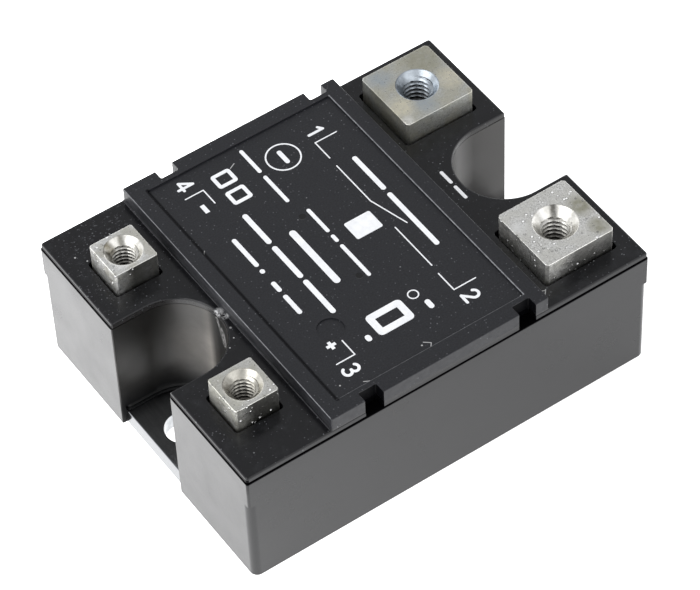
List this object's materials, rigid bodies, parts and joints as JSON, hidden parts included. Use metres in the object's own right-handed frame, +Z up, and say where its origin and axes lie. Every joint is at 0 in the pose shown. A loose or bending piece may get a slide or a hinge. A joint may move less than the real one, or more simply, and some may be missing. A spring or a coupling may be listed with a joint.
{
  "type": "panel-mount solid state relay",
  "caption": "Panel-mount solid state relay: black box with a notch in each end, metal base plate, raised cover and square screw terminals.",
  "frame": {"origin": "middle of the base plate's underside, the face that sits on the heatsink", "axes": "+X along the length towards the two large output terminals, +Y across the width towards terminals 1 and 4, +Z up out of the terminals"},
  "size_m": [0.0572, 0.0444, 0.022],
  "materials": {
    "housing_plastic": "moulded black thermoplastic, satin to glossy",
    "cover_plastic": "moulded black thermoplastic, finely textured",
    "plate_metal": "flat milled and nickel-plated base plate",
    "terminal_nickel": "grainy nickel plate on brass blocks",
    "tinned_copper": "tin-plated copper strip",
    "raw_copper": "bonded copper foil",
    "ceramic_white": "fired alumina",
    "silicon_chip": "metallised silicon chip",
    "board_laminate": "glass-filled laminate with green solder resist",
    "component_moulding": "black moulded component body",
    "capacitor_case": "blue moulded capacitor case",
    "resistor_body": "pale blue lacquered resistor body with colour bands",
    "seal_rubber": "cured black silicone adhesive",
    "soft_gel": "clear to milky silicone gel",
    "printed_ink": "pale pad-printed ink on the cover",
    "potting_resin": "black cast resin"
  },
  "bodies": {
    "root": {"base_plate": "plate_metal", "base_seal": "seal_rubber", "housing": "housing_plastic", "cover": "cover_plastic", "substrate_back_copper": "raw_copper", "ceramic_substrate": "ceramic_white", "control_board": "board_laminate", "optocoupler": "component_moulding", "snubber_capacitor": "capacitor_case", "input_transistor": "component_moulding", "snubber_resistor": "resistor_body", "input_resistor": "resistor_body", "input_diode": "component_moulding", "gate_resistor_1": "resistor_body", "gate_resistor_2": "resistor_body", "gel_filling": "soft_gel", "potting_block": "potting_resin", "output_terminal_1": "terminal_nickel", "input_terminal_4": "terminal_nickel", "output_lead_1": "tinned_copper", "input_pin_4": "tinned_copper", "copper_pad_1": "raw_copper", "thyristor_die_1": "silicon_chip", "cathode_clip_1": "tinned_copper", "gate_pin_1": "tinned_copper", "pad_pin_1": "tinned_copper", "output_terminal_2": "terminal_nickel", "input_terminal_3": "terminal_nickel", "output_lead_2": "tinned_copper", "input_pin_3": "tinned_copper", "copper_pad_2": "raw_copper", "thyristor_die_2": "silicon_chip", "cathode_clip_2": "tinned_copper", "gate_pin_2": "tinned_copper", "pad_pin_2": "tinned_copper"}
  },
  "joints": []
}
